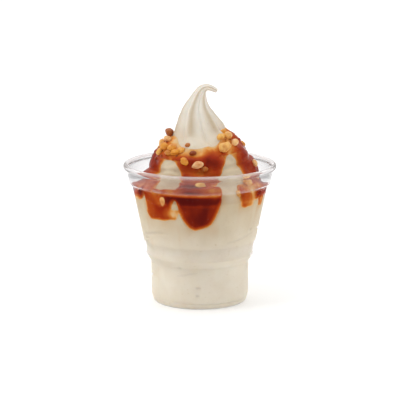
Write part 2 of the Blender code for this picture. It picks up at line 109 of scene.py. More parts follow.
# The ice cream's radius at heights along its spine, and how far the spine leans over
DOME_HEIGHTS = np.array([66, 71, 76, 80.5, 85, 89, 92.5, 95.5, 98, 100, 101.8, 104.5]) * MM
DOME_RADII = np.array([39.0, 37.2, 33.5, 30.3, 28.1, 26.4, 24.2, 21.9, 19.1, 16.6, 14.6, 13.0]) * MM
DOME_OFFSET = 1.0 * MM
PEAK_HEIGHTS = np.array([104.5, 108, 113, 118, 122.5, 126.5, 129.5, 132, 134.5, 136.8, 138.4]) * MM
PEAK_RADII = np.array([13.0, 11.4, 9.1, 6.7, 4.7, 3.3, 2.4, 1.8, 1.5, 1.3, 0.95]) * MM
TIP_HEIGHT = 138.8 * MM
LEAN_HEIGHTS = np.array([98.0, 102.0, 114.0, 120.0, 125.0, 128.6, 131.0, 133.8, 138.8]) * MM
LEAN_DEGREES = np.array([0.0, -6.0, -4.0, 10.0, 20.0, 36.0, 70.0, 106.0, 120.0])

RIDGES = 6
RIDGE_AT = 13.0
RIDGE_TWIST = 91.0
RIDGE_DEPTH = 0.9 * MM
RIDGE_POWER = 0.45  # under 1, so that the ridges are broad and the furrows narrow
RIDGE_SOFTNESS = 0.02
PEAK_RIDGE_SHARE = 0.17  # as a share of the peak's radius
GROOVE_DEPTH = 1.1 * MM
GROOVE_WIDTH = 3.0 * MM
GROOVE_PITCH = 15.0 * MM
GROOVE_FRONT_HEIGHT = 84.0 * MM
MOUND_FALL = 1.4  # how steeply a lobe falls away
# Lobes where the ice cream swells through the sauce: angle, height, width, rise
MOUNDS = metres((1, 2, 3), [
    (-37.5, 82.5, 8.5, 4.4),
    (-39, 87, 4, -1.8),
    (36, 82, 8, 1.8),
    (107, 84, 8, 2),
    (154, 82, 8, 2.2),
    (-164, 83, 8, 2),
    (-110, 82, 8, 1.8),
])

SAUCE_THICK = 1.9 * MM
WALL_SAUCE_THICK = 2.2 * MM
EDGE_ROUND = 1.5 * MM
WALL_EDGE_ROUND = 0.9 * MM
EDGE_BLEND = 1.5 * MM  # the rounding where one of its edges meets another
WINDOW_BLEND = 1.6 * MM
WINDOW_LIMIT = 1.4  # how far down a window's shape is followed, as a share of its height
LEAST_SLOPE = 0.5
PATCH_POWER = 1.5  # over 1, so that thin patches are flat in the middle
POOL_TOP = 73.2 * MM
POOL_TILT = 2.2 * MM
POOL_FOOT = 64.0 * MM
POOL_RISE = 5.0 * MM
POOL_FADE = (4.0 * MM, 2.0 * MM)  # from how far under the pool's top to how far over it
POOL_DEPTH = 6.0 * MM
RING_TOP = 101.6 * MM
RING_DIP = 5.7 * MM
RING_DIP_AT = -7.0
RING_DIP_HALF = 44.0
RING_FADE = 4.6 * MM
# Unevenness of the sauce's edges: how many waves round the cup, where they start in
# degrees, and how high they are in millimetres
RING_WAVES = [(5, 40, 0.5), (9, -20, 0.4)]
DRIP_WAVES = [(11, 30, 0.45), (23, 0, 0.35)]
# Where the sauce has run down the wall: angle, half the width in degrees, lowest height,
# how square
DRIP_BASE = 66.5 * MM
DRIP_LIMIT = 1.6  # a drip's shape is followed out to this many times its half width
DRIPS = metres((2,), [
    (-1.2, 20, 50.4, 3),
    (-38.5, 20.3, 55, 10),
    (-73, 13.5, 64.6, 5),
    (46.5, 9.8, 62.4, 6),
    (69, 6.5, 60.4, 4),
    (88, 8, 64.5, 3),
    (126, 17, 53.5, 2.6),
    (172, 13, 59.5, 3),
    (-143, 16, 54.5, 2.6),
    (-112, 12, 60, 4),
])
# Where the ice cream shows through: angle and half the width at the foot, lowest and
# highest height, how pointed, and how many degrees its top leans over
WINDOWS = metres((1, 2, 3), [
    (-39.6, 10.4, 79, 88.8, 0.42, -1.4),
    (-34, 7.8, 73, 81, 0.2, 0),
    (-22.5, 2.3, 62.5, 68, 0.5, 0),
    (-57.5, 1.3, 60, 71, 0.3, 0),
    (29.8, 9.9, 76, 92.4, 0.6, 12),
    (28.5, 6.8, 56, 80, 0.12, 0),
    (107, 7, 62, 90, 0.5, 6),
    (153, 7.5, 60, 91, 0.8, 8),
    (-165, 6.5, 63, 88, 0.5, 5),
    (-104, 6.5, 78, 89, 0.5, 0),
])
# Where the sauce is thinner: angle, height, half sizes across and up, and by what share
FILMS = metres((1, 2, 3), [
    (-24, 60, 5.5, 4, 0.9),
    (-51, 61, 6, 13, 0.5),
    (-33.5, 57.5, 6, 4.2, 0.2),
    (-37, 68.5, 3.2, 4.5, 0.8),
    (-73, 67, 9, 10, 0.8),
    (46, 68, 8, 9, 0.66),
    (54.5, 67, 3, 11, 0.84),
    (70, 66, 7, 12, 0.8),
    (110, 60, 7, 5, 0.8),
    (132, 70, 9, 5, 0.6),
    (-120, 64, 6, 7, 0.7),
    (168, 70, 6, 5, 0.7),
    (-50, 94, 12, 5, 0.6),
    (-14, 94, 11, 3.4, 0.66),
    (48, 98.5, 9, 4, 0.6),
])
# Where the sauce only looks thinner, as light gathers at the step of the wall and beside
# the lobes, with the same columns
LIT = metres((1, 2, 3), [
    (-8, 71.7, 25, 1.3, 0.8),
    (-24, 74.5, 7, 2.5, 0.7),
    (-50, 74.5, 10, 3, 0.55),
    (4, 75.5, 16, 2, 0.5),
    (14, 74.5, 8, 4.5, 0.7),
    (47, 72, 8, 7, 0.6),
    (4, 82.5, 9, 4, 0.55),
    (-43, 70.4, 6.5, 4, 0.65),
    (57, 74, 9, 3, 0.6),
    (100, 72, 30, 2.5, 0.5),
    (-110, 72, 30, 2.5, 0.5),
    (178, 73, 30, 2.5, 0.5),
])
# Heights over which something comes in, or comes in and fades out again
TWIST_RUN = (62 * MM, 106 * MM)
DOME_RIDGE_RUN = (68 * MM, 80 * MM, 90 * MM, 102 * MM)
PEAK_RIDGE_RUN = (92 * MM, 104 * MM)
GROOVE_RUN = (72 * MM, 78 * MM, 92 * MM, 97 * MM)
DOME_OFFSET_RUN = (72 * MM, 82 * MM, 96 * MM, 104 * MM)
MOUND_RUN = (70 * MM, 76 * MM)
FREE_RUN = (66 * MM, 74 * MM)  # where the food comes away from the wall
OPEN_SAUCE_RUN = (70 * MM, 78 * MM)
RING_RUN = (88 * MM, 95 * MM)

# ---- what only the scene has

# Soft lumps: depth, size and seed
LUMPS = [(0.32 * MM, 6 * MM, 3), (0.12 * MM, 2.2 * MM, 4)]
SLIM_RUN = (100 * MM, 134 * MM)  # where the relief gets shallower up the peak
SLIM_SHARE = 0.75
# Drag lines along the ridges: their waves, their depth, and the size and seed of the
# patches where they are deeper
DRAG_WAVES = [(47, 0, 1.0), (71, 50, 0.6)]
DRAG_DEPTH = 0.06 * MM
DRAG_PATCH = (9 * MM, 8)
DRAG_RUN = (76 * MM, 96 * MM)
# Seams between turns of the coil that show through the wall: angle, height, half the
# length in degrees, half the width, depth
SEAMS = metres((1, 3, 4), [
    (-56, 45, 20, 0.8, 0.4),
    (48, 43, 22, 0.7, 0.35),
    (-16, 21.5, 14, 0.7, 0.35),
    (110, 47, 35, 0.9, 0.5),
    (170, 40, 30, 0.9, 0.5),
    (-120, 44, 34, 0.9, 0.5),
    (150, 18, 34, 0.8, 0.4),
    (-100, 15, 30, 0.8, 0.4),
])
# Small air pits: angle, height, half sizes across and up, depth
PITS = metres((1, 2, 3, 4), [
    (-2, 13.5, 1.2, 0.6, 0.8),
    (-3, 9, 0.9, 0.5, 0.6),
    (-25, 25.5, 1.4, 0.6, 0.6),
    (-66, 41, 2, 0.7, 0.7),
    (58, 47, 1.5, 0.8, 0.6),
    (118, 20, 1.6, 0.9, 0.9),
    (-130, 26, 1.8, 0.9, 0.9),
    (175, 12, 1.5, 0.9, 0.8),
    (-165, 52, 1.7, 1, 0.9),
])
SEAM_WAVE = (5, 1.1 * MM)  # how many round the cup, and how high
SEAM_SLOPE = 0.02 * MM  # to a degree
PIT_EDGE = (0.55, 1.25)  # from the flat of a pit out to its rim, as shares of its half sizes
WALL_RELIEF_RUN = (58 * MM, 66 * MM)  # where the seams and pits fade out

# Beside the sauce the ice cream is stained, in spots (size and seed), less so in the open
STAIN_WIDTH = 2.6 * MM
STAIN_SPOTS = (5 * MM, 21)
STAIN_LEAST = 0.25
OPEN_STAIN_LESS = 0.75
# Painted shade: bands up the peak, lying about on the ridges' crests, darken the ice cream's colour
# where the light falls off
SHADE_BAND_TURN = 31.0  # how many degrees the bands of painted shade up the peak are turned from its furrows
SHADE_BAND_START = 0.85  # the height of the ridges' wave under which a band of painted shade starts
SHADE_BAND_FADE = 1.4  # and how much lower it is full
SHADE_BAND_RUN = (96 * MM, 106 * MM)
UNDER_SKIN = 0.35 * MM  # how far under the ice cream's skin the sauce is hollowed out
UNDER_INTO_WALL = 0.3 * MM
DEEPEST_SAUCE = 2.6 * MM  # deeper sauce looks no darker
SAUCE_CORNER = 70.0  # sharper edges are shaded sharp, in degrees

# How far up the food, the nuts and the mark of what is pressed follow the wall
FOOD_LIMIT_TOP = CUP_HEIGHT - 2 * MM
NUT_LIMIT_TOP = CUP_HEIGHT - 3 * MM
PRESSED_TOP = CUP_HEIGHT - 4 * MM
PRESSED_GAP = (0.1 * MM, 0.8 * MM)

AROUND = 276  # points round the food
ANGLES = np.arange(AROUND) * 360.0 / AROUND
WOBBLE_WAVES = 28
WOBBLE_LENGTHS = (1.4, 3.2)  # of its waves, as shares of the size of its lumps
SPINE_POINTS = 4000

# ---- curves and patterns


def smoothstep(low, high, x):
    share = np.clip((x - low) / (high - low), 0.0, 1.0)
    return share * share * (3.0 - 2.0 * share)


def between(foot, full, fading, top, x):
    """1 from full to fading, and 0 below foot and above top."""
    return smoothstep(foot, full, x) * (1 - smoothstep(fading, top, x))


def through(x, stations, values):
    """A smooth curve through the values at the stations, read at x."""
    slopes = np.gradient(values, stations)
    i = np.clip(np.searchsorted(stations, x, side="right") - 1, 0, len(stations) - 2)
    span = stations[i + 1] - stations[i]
    u = np.clip((x - stations[i]) / span, 0.0, 1.0)
    start = (1 + 2 * u) * (1 - u) ** 2 * values[i] + u * (1 - u) ** 2 * span * slopes[i]
    return start + u * u * (3 - 2 * u) * values[i + 1] + u * u * (u - 1) * span * slopes[i + 1]


def turn_between(a, b):
    """The angle from b to a in degrees, from -180 to 180."""
    return (a - b + 180.0) % 360.0 - 180.0


def lower_of(a, b, width):
    """The lesser of a and b, with the corner between them rounded over width."""
    share = np.clip(0.5 - 0.5 * (a - b) / width, 0.0, 1.0)
    return b + (a - b) * share - width * share * (1 - share)


def waves(angle, terms):
    """Waves round the cup, added up: how many, where they start in degrees, and how high."""
    return sum(high * np.sin(np.radians(count * angle + start)) for count, start, high in terms)


def round_axis(angle, radius, height):
    """Points at this angle round the cup's axis, this far from it and at this height."""
    turn = np.radians(angle)
    return np.stack([radius * np.sin(turn), -radius * np.cos(turn), height + 0 * turn], axis=-1)


def wobble(points, size, seed):
    """Smooth random unevenness between about -1 and 1, with lumps of about this size."""
    chance = np.random.default_rng(seed)
    ways = chance.normal(size=(WOBBLE_WAVES, 3))
    ways /= np.linalg.norm(ways, axis=1)[:, None]
    ways *= (2 * math.pi / (size * chance.uniform(*WOBBLE_LENGTHS, WOBBLE_WAVES)))[:, None]
    starts = chance.uniform(0, 2 * math.pi, WOBBLE_WAVES)
    total = np.zeros(points.shape[:-1])
    for way, start in zip(ways, starts):
        total += np.sin(points @ way + start)
    return total * math.sqrt(2.0 / WOBBLE_WAVES) * 0.6


# ---- the cup


def rounded(corners):
    """The outline through the corners, with an arc at each one that CORNER_ROUND names."""
    outline = [np.array(corners[0])]
    for before, corner, after in zip(corners, corners[1:], corners[2:]):
        here = np.array(corner)
        back, on = np.array(before) - here, np.array(after) - here
        reach_back, reach_on = np.linalg.norm(back), np.linalg.norm(on)
        back, on = back / reach_back, on / reach_on
        half = math.acos(np.clip(back @ on, -1.0, 1.0)) / 2
        radius = CORNER_ROUND.get(corner, 0.0)
        cut = min(radius / math.tan(half), 0.45 * reach_back, 0.45 * reach_on)
        if cut < 1e-6:
            outline.append(here)
            continue
        middle = back + on
        centre = here + middle / np.linalg.norm(middle) * (cut / math.cos(half))
        first, last = here + back * cut - centre, here + on * cut - centre
        sweep = math.acos(np.clip(first @ last / (first @ first), -1.0, 1.0))
        for k in range(CORNER_STEPS + 1):
            share = k / CORNER_STEPS
            mixed = math.sin((1 - share) * sweep) * first + math.sin(share * sweep) * last
            outline.append(centre + mixed / math.sin(sweep))
    outline.append(np.array(corners[-1]))
    return np.array(outline)


def wall_outline():
    """The outside of the cup, from the middle of its base up to the lip."""
    corners = [(0.0, RECESS[1]), RECESS, FOOT_INSIDE, FOOT_OUTSIDE, LOWER_WALL_FOOT, LOWER_WALL_TOP]
    corners += [LEDGE, UPPER_WALL_FOOT, UPPER_WALL_TOP, COLLAR_FOOT, COLLAR_TOP]
    return rounded(corners)


def inset(outline, depth):
    """The outline moved inwards, with its first point kept on the axis."""
    along = np.gradient(outline, axis=0)
    along /= np.linalg.norm(along, axis=1)[:, None]
    inward = np.stack([-along[:, 1], along[:, 0]], axis=1)
    moved = outline + inward * depth
    moved[0, 0] = 0.0
    return moved


INSIDE = inset(wall_outline(), WALL)
INSIDE = INSIDE[np.concatenate([[True], np.diff(INSIDE[:, 1]) > 1e-7]) & (INSIDE[:, 0] > RECESS[0])]


def inside_radius(height):
    return np.interp(height, INSIDE[:, 1], INSIDE[:, 0])


def in_scene(name, data):
    made = bpy.data.objects.new(name, data)
    bpy.context.scene.collection.objects.link(made)
    return made


def mesh_object(name, points, faces):
    mesh = bpy.data.meshes.new(name)
    mesh.from_pydata([tuple(p) for p in points], [], [tuple(f) for f in faces])
    mesh.validate()
    mesh.shade_smooth()
    return in_scene(name, mesh)


def grid_skin(name, rings, foot, top):
    """A closed body from rings of points, with a point in the middle of each end."""
    count, sides = rings.shape[:2]
    i = np.arange(count - 1)[:, None] * sides
    j = np.arange(sides)[None, :]
    k = (j + 1) % sides
    quads = np.stack([i + j, i + k, i + sides + k, i + sides + j], axis=-1).reshape(-1, 4)
    last = (count - 1) * sides
    ends = [(count * sides, b, a) for a, b in zip(j[0], k[0])]
    ends += [(count * sides + 1, last + a, last + b) for a, b in zip(j[0], k[0])]
    points = np.concatenate([rings.reshape(-1, 3), [foot, top]])
    return mesh_object(name, points, list(quads) + ends)


def build_cup():
    outside = wall_outline()
    inside = inset(outside, WALL)
    centre = np.array([RIM_RADIUS - LIP_ROUND, CUP_HEIGHT - LIP_ROUND])
    arc = np.radians(np.linspace(*LIP_ARC, LIP_STEPS))
    lip = centre + LIP_ROUND * np.stack([np.cos(arc), np.sin(arc)], axis=1)
    outline = np.concatenate([outside[1:], lip[::-1], inside[::-1][:-1]])
    angles = np.arange(CUP_SIDES) * 360.0 / CUP_SIDES
    rings = round_axis(angles[None, :], outline[:, 0][:, None], outline[:, 1][:, None])
    return grid_skin("clear_cup", rings, (0, 0, outside[0, 1]), (0, 0, inside[0, 1]))


# ---- the ice cream's form

SPINE_ALONG = np.linspace(0.0, TIP_HEIGHT, SPINE_POINTS)
SPINE_LEAN = np.radians(through(SPINE_ALONG, LEAN_HEIGHTS, LEAN_DEGREES))
SPINE_LEAN = np.where(SPINE_ALONG > LEAN_HEIGHTS[0], SPINE_LEAN, 0.0)
SPINE_STEP = SPINE_ALONG[1] - SPINE_ALONG[0]
SPINE_X = np.cumsum(np.sin(SPINE_LEAN)) * SPINE_STEP
SPINE_Z = np.concatenate([[0.0], np.cumsum(np.cos(SPINE_LEAN))[:-1]]) * SPINE_STEP


def spine(height):
    """Across, height and lean of the spine at a height measured along it."""
    return tuple(np.interp(height, SPINE_ALONG, v) for v in (SPINE_X, SPINE_Z, SPINE_LEAN))


def fill_radius(height):
    pressed = inside_radius(height) + INTO_WALL
    below = smoothstep(POCKET_FOOT, POCKET_DEEPEST, height)
    above = smoothstep(POCKET_TOP, POCKET_DEEPEST + POCKET_FLAT, height)
    free = pressed + (POCKET_RADIUS - pressed) * np.minimum(below, above)
    return np.minimum(pressed, free)


def profile(height):
    low, high = DOME_HEIGHTS[0], DOME_HEIGHTS[-1]
    dome = through(height, DOME_HEIGHTS, DOME_RADII)
    peak = through(height, PEAK_HEIGHTS, PEAK_RADII)
    return np.where(height < low, fill_radius(height), np.where(height < high, dome, peak))


def twist(height):
    return RIDGE_TWIST * smoothstep(*TWIST_RUN, height)


def ridges(angle, height):
    """About 1 on the crest of a ridge and -1 in a furrow."""
    phase = np.radians(RIDGES * (angle - RIDGE_AT + twist(height))) / 2
    return 2.0 * (np.cos(phase) ** 2 + RIDGE_SOFTNESS) ** RIDGE_POWER - 1.0


def ridge_depth(radius, height):
    on_peak = PEAK_RIDGE_SHARE * radius * smoothstep(*PEAK_RIDGE_RUN, height)
    return RIDGE_DEPTH * between(*DOME_RIDGE_RUN, height) + on_peak


def groove(angle, height):
    """The groove between turns of the coil, which climbs round the dome."""
    turns = (height - GROOVE_FRONT_HEIGHT) / GROOVE_PITCH - angle / 360.0
    away = (turns - np.round(turns)) * GROOVE_PITCH
    return GROOVE_DEPTH * between(*GROOVE_RUN, height) * np.exp(-((2 * away / GROOVE_WIDTH) ** 2))


def mounds(angle, height, radius):
    rise = np.zeros_like(radius)
    for middle, level, width, high in MOUNDS:
        across = np.radians(turn_between(angle, middle)) * radius
        off = (across / width) ** 2 + ((height - level) / width) ** 2
        rise = rise + high * np.exp(-off * MOUND_FALL)
    return rise


# ---- the sauce's form


def drip_line(angle):
    """The height that the sauce has run down to."""
    line = np.full_like(angle, DRIP_BASE)
    for middle, half, low, square in DRIPS:
        off = np.minimum(np.abs(turn_between(angle, middle)) / half, DRIP_LIMIT)
        line = lower_of(line, low + (DRIP_BASE - low) * off**square, EDGE_BLEND)
    return line + waves(angle, DRIP_WAVES) * MM


def coverage(angle, height, radius):
    """Above zero where the sauce lies."""
    cover = height - drip_line(angle)
    for middle, half, low, high, pointed, lean in WINDOWS:
        up = np.clip((high - height) / (high - low), 0.0, WINDOW_LIMIT)
        centre = middle + lean * np.sqrt(np.maximum(1 - up, 0.0))
        away = np.abs(np.radians(turn_between(angle, centre))) * radius
        outside = np.maximum(away - half * up**pointed, height - high)
        outside = np.maximum(outside, low - height)
        cover = lower_of(cover, outside, WINDOW_BLEND)
    dip = np.exp(-((np.abs(turn_between(angle, RING_DIP_AT)) / RING_DIP_HALF) ** 3))
    top = RING_TOP - RING_DIP * dip + waves(angle, RING_WAVES) * MM
    return lower_of(cover, top - height, EDGE_BLEND)


def sauce_reach(angle, height, radius):
    """How far a place is inside the sauce's edge."""
    step = 0.25 * MM
    here = coverage(angle, height, radius)
    across = (coverage(angle + np.degrees(step / radius), height, radius) - here) / step
    up = (coverage(angle, height + step, radius) - here) / step
    return here / np.maximum(np.hypot(across, up), LEAST_SLOPE)


def thinned(patches, angle, height, radius):
    """The share of the sauce's thickness that these patches leave."""
    left = np.ones_like(radius)
    for middle, level, wide, tall, share in patches:
        across = np.radians(turn_between(angle, middle)) * radius
        off = (across / wide) ** 2 + ((height - level) / tall) ** 2
        left = left * (1 - share * np.exp(-(off**PATCH_POWER)))
    return left


def sauce_depth(reach, angle, height, radius):
    opened = smoothstep(*OPEN_SAUCE_RUN, height)
    full = SAUCE_THICK + (WALL_SAUCE_THICK - SAUCE_THICK) * (1 - opened)
    full = full * thinned(FILMS, angle, height, radius)
    edge = WALL_EDGE_ROUND + (EDGE_ROUND - WALL_EDGE_ROUND) * opened
    edge = edge + RING_FADE * smoothstep(*RING_RUN, height)
    return full * np.tanh(np.maximum(reach, -2 * EDGE_ROUND) / edge)


def pool_depth(depth, angle, height):
    """How much deeper the sauce is where it has gathered at the shoulder."""
    top = POOL_TOP + POOL_TILT * np.cos(np.radians(2 * angle))
    above = smoothstep(POOL_FOOT, POOL_FOOT + POOL_RISE, height)
    below = 1 - smoothstep(top - POOL_FADE[0], top + POOL_FADE[1], height)
    return POOL_DEPTH * above * below * np.clip(depth / SAUCE_THICK, 0.0, 1.0)


def recess(depth, height):
    """How far the ice cream gives way to the sauce that lies between it and the wall."""
    return np.maximum(depth, 0.0) * (1 - smoothstep(*FREE_RUN, height))


def fine_relief(angle, height, radius):
    """Unevenness that the solids leave out: soft lumps, and drag lines along the ridges."""
    place = round_axis(angle, radius, height)
    free = smoothstep(*FREE_RUN, height)
    slim = 1 - SLIM_SHARE * smoothstep(*SLIM_RUN, height)
    lumps = sum(deep * wobble(place, size, seed) for deep, size, seed in LUMPS)
    lines = DRAG_DEPTH * waves(angle + twist(height), DRAG_WAVES)
    lines = lines * (0.6 + 0.4 * wobble(place, *DRAG_PATCH))
    return free * slim * (lumps + lines * smoothstep(*DRAG_RUN, height))


def wall_relief(angle, height, radius):
    """How far the ice cream stands back from the wall at its seams and pits."""
    back = np.zeros_like(radius)
    for middle, level, half, tall, deep in SEAMS:
        off = turn_between(angle, middle)
        line = level + SEAM_WAVE[1] * np.sin(np.radians(off * SEAM_WAVE[0])) + off * SEAM_SLOPE
        along = np.exp(-((off / half) ** 4))
        back = np.maximum(back, deep * along * np.exp(-(((height - line) / tall) ** 2)))
    for middle, level, wide, tall, deep in PITS:
        across = np.radians(turn_between(angle, middle)) * radius
        off = np.hypot(across / wide, (height - level) / tall)
        back = np.maximum(back, deep * (1 - smoothstep(*PIT_EDGE, off)))
    return back * (1 - smoothstep(*WALL_RELIEF_RUN, height))


def surface(angle, height, layer):
    """Points on the ice cream, on the sauce over it, or just under the ice cream's skin.

    It also gives how far each point is inside the sauce's edge.
    """
    radius = profile(height)
    step = 0.2 * MM
    slope = (profile(height + step) - profile(height - step)) / (2 * step)
    out_r = 1.0 / np.hypot(slope, 1.0)
    out_h = -slope / np.hypot(slope, 1.0)
    reach = sauce_reach(angle, height, radius)
    depth = sauce_depth(reach, angle, height, radius)
    shift = ridge_depth(radius, height) * ridges(angle, height) - groove(angle, height)
    shift = shift + mounds(angle, height, radius) * smoothstep(*MOUND_RUN, height)
    shift = shift - recess(depth, height) + fine_relief(angle, height, radius)
    if layer == "ice_cream":
        shift = shift - wall_relief(angle, height, radius)
    if layer == "under":
        shift = shift - UNDER_SKIN
    if layer == "sauce":
        shift = shift + depth + pool_depth(depth, angle, height)
    radius = radius + shift * out_r
    over = height + shift * out_h
    limit = inside_radius(over) + (UNDER_INTO_WALL if layer == "under" else INTO_WALL)
    radius = np.where(over < FOOD_LIMIT_TOP, np.minimum(radius, limit), radius)
    x0, z0, lean = spine(over)
    side = radius * np.sin(np.radians(angle))
    x = x0 + DOME_OFFSET * between(*DOME_OFFSET_RUN, height) + side * np.cos(lean)
    y = -radius * np.cos(np.radians(angle))
    return np.stack([x, y, z0 - side * np.sin(lean)], axis=-1), reach


def rings_of(heights, layer):
    """Rings of points that turn with the ridges."""
    angle, height = np.meshgrid(ANGLES, heights)
    return surface(angle - twist(height), height, layer)


def spaced(*runs):
    """Heights in millimetres from runs of (first, last, step)."""
    return np.concatenate([np.arange(a, b, s) for a, b, s in runs]) * MM


ICE_CREAM_HEIGHTS = spaced(
    (0.8, 3.2, 0.4),
    (3.2, 24, 0.8),
    (24, 66, 0.6),
    (66, 92, 0.34),
    (92, 104, 0.26),
    (104, 128, 0.42),
    (128, 138.5, 0.2),
)
RECESS_FLOOR = RECESS[1] + WALL - INTO_WALL
FOOT_FLOOR = WALL - INTO_WALL
# Rings under the ice cream, from its middle out: radius and height
UNDERSIDE = [
    (8 * MM, RECESS_FLOOR),
    (16 * MM, RECESS_FLOOR),
    (22.8 * MM, RECESS_FLOOR),
    (23.8 * MM, 1.2 * MM),
    (24.9 * MM, FOOT_FLOOR),
    (26.6 * MM, FOOT_FLOOR),
]
SAUCE_HEIGHTS = spaced((45, 106, 0.42))
UNDER_HEIGHTS = spaced((43, 108, 0.42))


def store(mesh, name, values):
    """Keeps a number at each point, for a material or a node tree to read."""
    layer = mesh.attributes.new(name, "FLOAT", "POINT")
    layer.data.foreach_set("value", np.asarray(values).astype(np.float32))


def mark_pressed(mesh):
    """Marks with 1 where the food lies against the cup, and with 0 the open."""
    points = np.array([v.co for v in mesh.vertices])
    gap = inside_radius(points[:, 2]) - np.hypot(points[:, 0], points[:, 1])
    inside = points[:, 2] < PRESSED_TOP
    store(mesh, "pressed", (1 - smoothstep(*PRESSED_GAP, gap)) * inside)


def stain(points, reach, height):
    """How much the sauce has stained the ice cream beside it."""
    spots = 0.5 + 0.5 * wobble(points, *STAIN_SPOTS)
    near = np.exp(np.minimum(reach, 0) / STAIN_WIDTH) * (STAIN_LEAST + (1 - STAIN_LEAST) * spots)
    return near * (1 - OPEN_STAIN_LESS * smoothstep(*OPEN_SAUCE_RUN, height))


def painted_peak_shade(height):
    """The bands of painted shade up the peak, from 0 to 1."""
    crest = ridges(ANGLES[None, :] - twist(height) + SHADE_BAND_TURN, height)
    dark = np.clip((SHADE_BAND_START - crest) / SHADE_BAND_FADE, 0.0, 1.0)
    return dark * smoothstep(*SHADE_BAND_RUN, height)


def build_ice_cream():
    rings, reach = rings_of(ICE_CREAM_HEIGHTS, "ice_cream")
    base = [round_axis(ANGLES, wide, level) for wide, level in UNDERSIDE]
    points = np.concatenate([base, rings])
    x, z, _ = spine(TIP_HEIGHT)
    piece = grid_skin("soft_serve", points, (0, 0, RECESS_FLOOR), (float(x), 0, float(z)))
    reach = np.concatenate([np.full((len(base), AROUND), -1.0), reach])
    heights = np.concatenate([np.zeros(len(base)), ICE_CREAM_HEIGHTS])[:, None]
    for name, values in (("stain", stain(points, reach, heights)), ("painted_shade", painted_peak_shade(heights))):
        store(piece.data, name, np.concatenate([values.reshape(-1), [0.0, 0.0]]))
    mark_pressed(piece.data)
    return piece


def bake(piece):
    """Makes what its modifiers leave the piece's own plain mesh."""
    bpy.context.view_layer.update()
    shapes = bpy.context.evaluated_depsgraph_get()
    mesh = bpy.data.meshes.new_from_object(piece.evaluated_get(shapes))
    piece.modifiers.clear()
    piece.data = mesh
    return mesh


def keep_largest(mesh):
    """Takes away all loose parts but the largest."""
    shape = bmesh.new()
    shape.from_mesh(mesh)
    left, bodies = set(shape.verts), []
    while left:
        body, reached = [], [left.pop()]
        while reached:
            vertex = reached.pop()
            body.append(vertex)
            near = {edge.other_vert(vertex) for edge in vertex.link_edges} & left
            left -= near
            reached.extend(near)
        bodies.append(body)
    bodies.sort(key=len)
    for body in bodies[:-1]:
        bmesh.ops.delete(shape, geom=body, context="VERTS")
    shape.to_mesh(mesh)
    shape.free()


def rings_body(name, heights, layer):
    rings, _ = rings_of(heights, layer)
    foot, top = [(0, 0, ring[:, 2].mean()) for ring in (rings[0], rings[-1])]
    return grid_skin(name, rings, foot, top)


def build_sauce(ice_cream):
    sauce = rings_body("caramel", SAUCE_HEIGHTS, "sauce")
    core = rings_body("core", UNDER_HEIGHTS, "under")
    cut = sauce.modifiers.new("cut", "BOOLEAN")
    cut.operation = "DIFFERENCE"
    cut.solver = "MANIFOLD"
    cut.object = core
    mesh = bake(sauce)
    bpy.data.objects.remove(core)
    keep_largest(mesh)
    mesh.shade_smooth()
    mesh.set_sharp_from_angle(angle=math.radians(SAUCE_CORNER))
    ground = BVHTree.FromObject(ice_cream, bpy.context.evaluated_depsgraph_get())
    depth = [min(ground.find_nearest(v.co)[3], DEEPEST_SAUCE) / MM for v in mesh.vertices]
    x, y, z = np.array([v.co for v in mesh.vertices]).T
    # Painted light: the depth kept for the colour is made shallower under LIT, so the sauce is
    # painted paler there
    left = thinned(LIT, np.degrees(np.arctan2(x, -y)), z, np.hypot(x, y))
    store(mesh, "depth", np.array(depth) * left)
    mark_pressed(mesh)
    return sauce


# ---- the chopped peanuts

NUT_SEED = 5
NUT_LIFT = 0.16
# As shares of a nut's length: its width, one for each kind of piece, and its thickness
NUT_WIDTHS = [0.92, 0.74, 0.84, 0.56, 0.8, 0.66]
NUT_THICKNESS = (0.6, 0.75)
# How many faces are broken off, how far from the middle, and how flat
BREAKS = (1, 2, 2, 3)
BREAK_AT = (0.2, 0.34)
BREAK_FLATNESS = 0.93
# Lumps on a nut of unit length: depth, size and the first seed
NUT_LUMPS = [(0.05, 0.13, 40), (0.06, 0.35, 60)]
NUT_CORNER = 42.0
NUT_LEAN = 0.35  # how far a nut may lean on the sauce's face, in radians
WHOLE_TURN = 6.28
# Places beside and above a nut that show how the sauce's face lies under it
BESIDE = 1.0  # degrees
ABOVE = 0.3 * MM
# The larger ones in front: angle, height, length, kind, turn in radians on the sauce's
# face, how far the middle stands off the sauce as a share of the length, and how light
NUTS_IN_FRONT = metres((1, 2), [
    (-88, 101.4, 8.4, 3, 0, 0.34, 0.13),
    (-72.5, 97.8, 6.4, 5, 0.2, 0.16, 0.92),
    (-63, 94.6, 6.2, 0, 0, 0.16, 0.46),
    (-47, 94.8, 5.8, 2, 0.8, 0.16, 0.52),
    (-47.5, 91.8, 5.4, 3, 0.1, 0.16, 0.36),
    (-67.5, 91.2, 4.8, 1, 1.2, 0.12, 0.66),
    (-39, 92.8, 5.2, 4, 0.5, 0.16, 0.5),
    (-32.5, 94.8, 5.4, 1, 0.3, 0.16, 0.62),
    (-21, 88.4, 6.2, 5, -0.7, 0.16, 0.5),
    (-4, 87.4, 7.8, 3, 0.05, 0.16, 1),
    (3.5, 85.2, 4.4, 4, 0.4, 0.1, 0.2),
    (37, 95.6, 7.6, 0, 0, 0.16, 0.8),
    (58.5, 96.4, 5.6, 1, 0.2, 0.16, 0.92),
    (54, 99, 6, 2, 0.5, 0.16, 0.8),
    (39, 99.4, 5, 4, 0, 0.16, 0.76),
    (64, 101.4, 5, 2, 0.3, 0.16, 0.6),
    (80, 97.4, 4.4, 4, 0, 0.1, 0.05),
    (82.5, 83.2, 4.8, 1, 1.3, 0.16, 0.95),
    (0.5, 74, 6.6, 5, 0.1, 0.08, 0.76),
    (51, 75.6, 7.4, 1, 0, 0.16, 0.68),
])
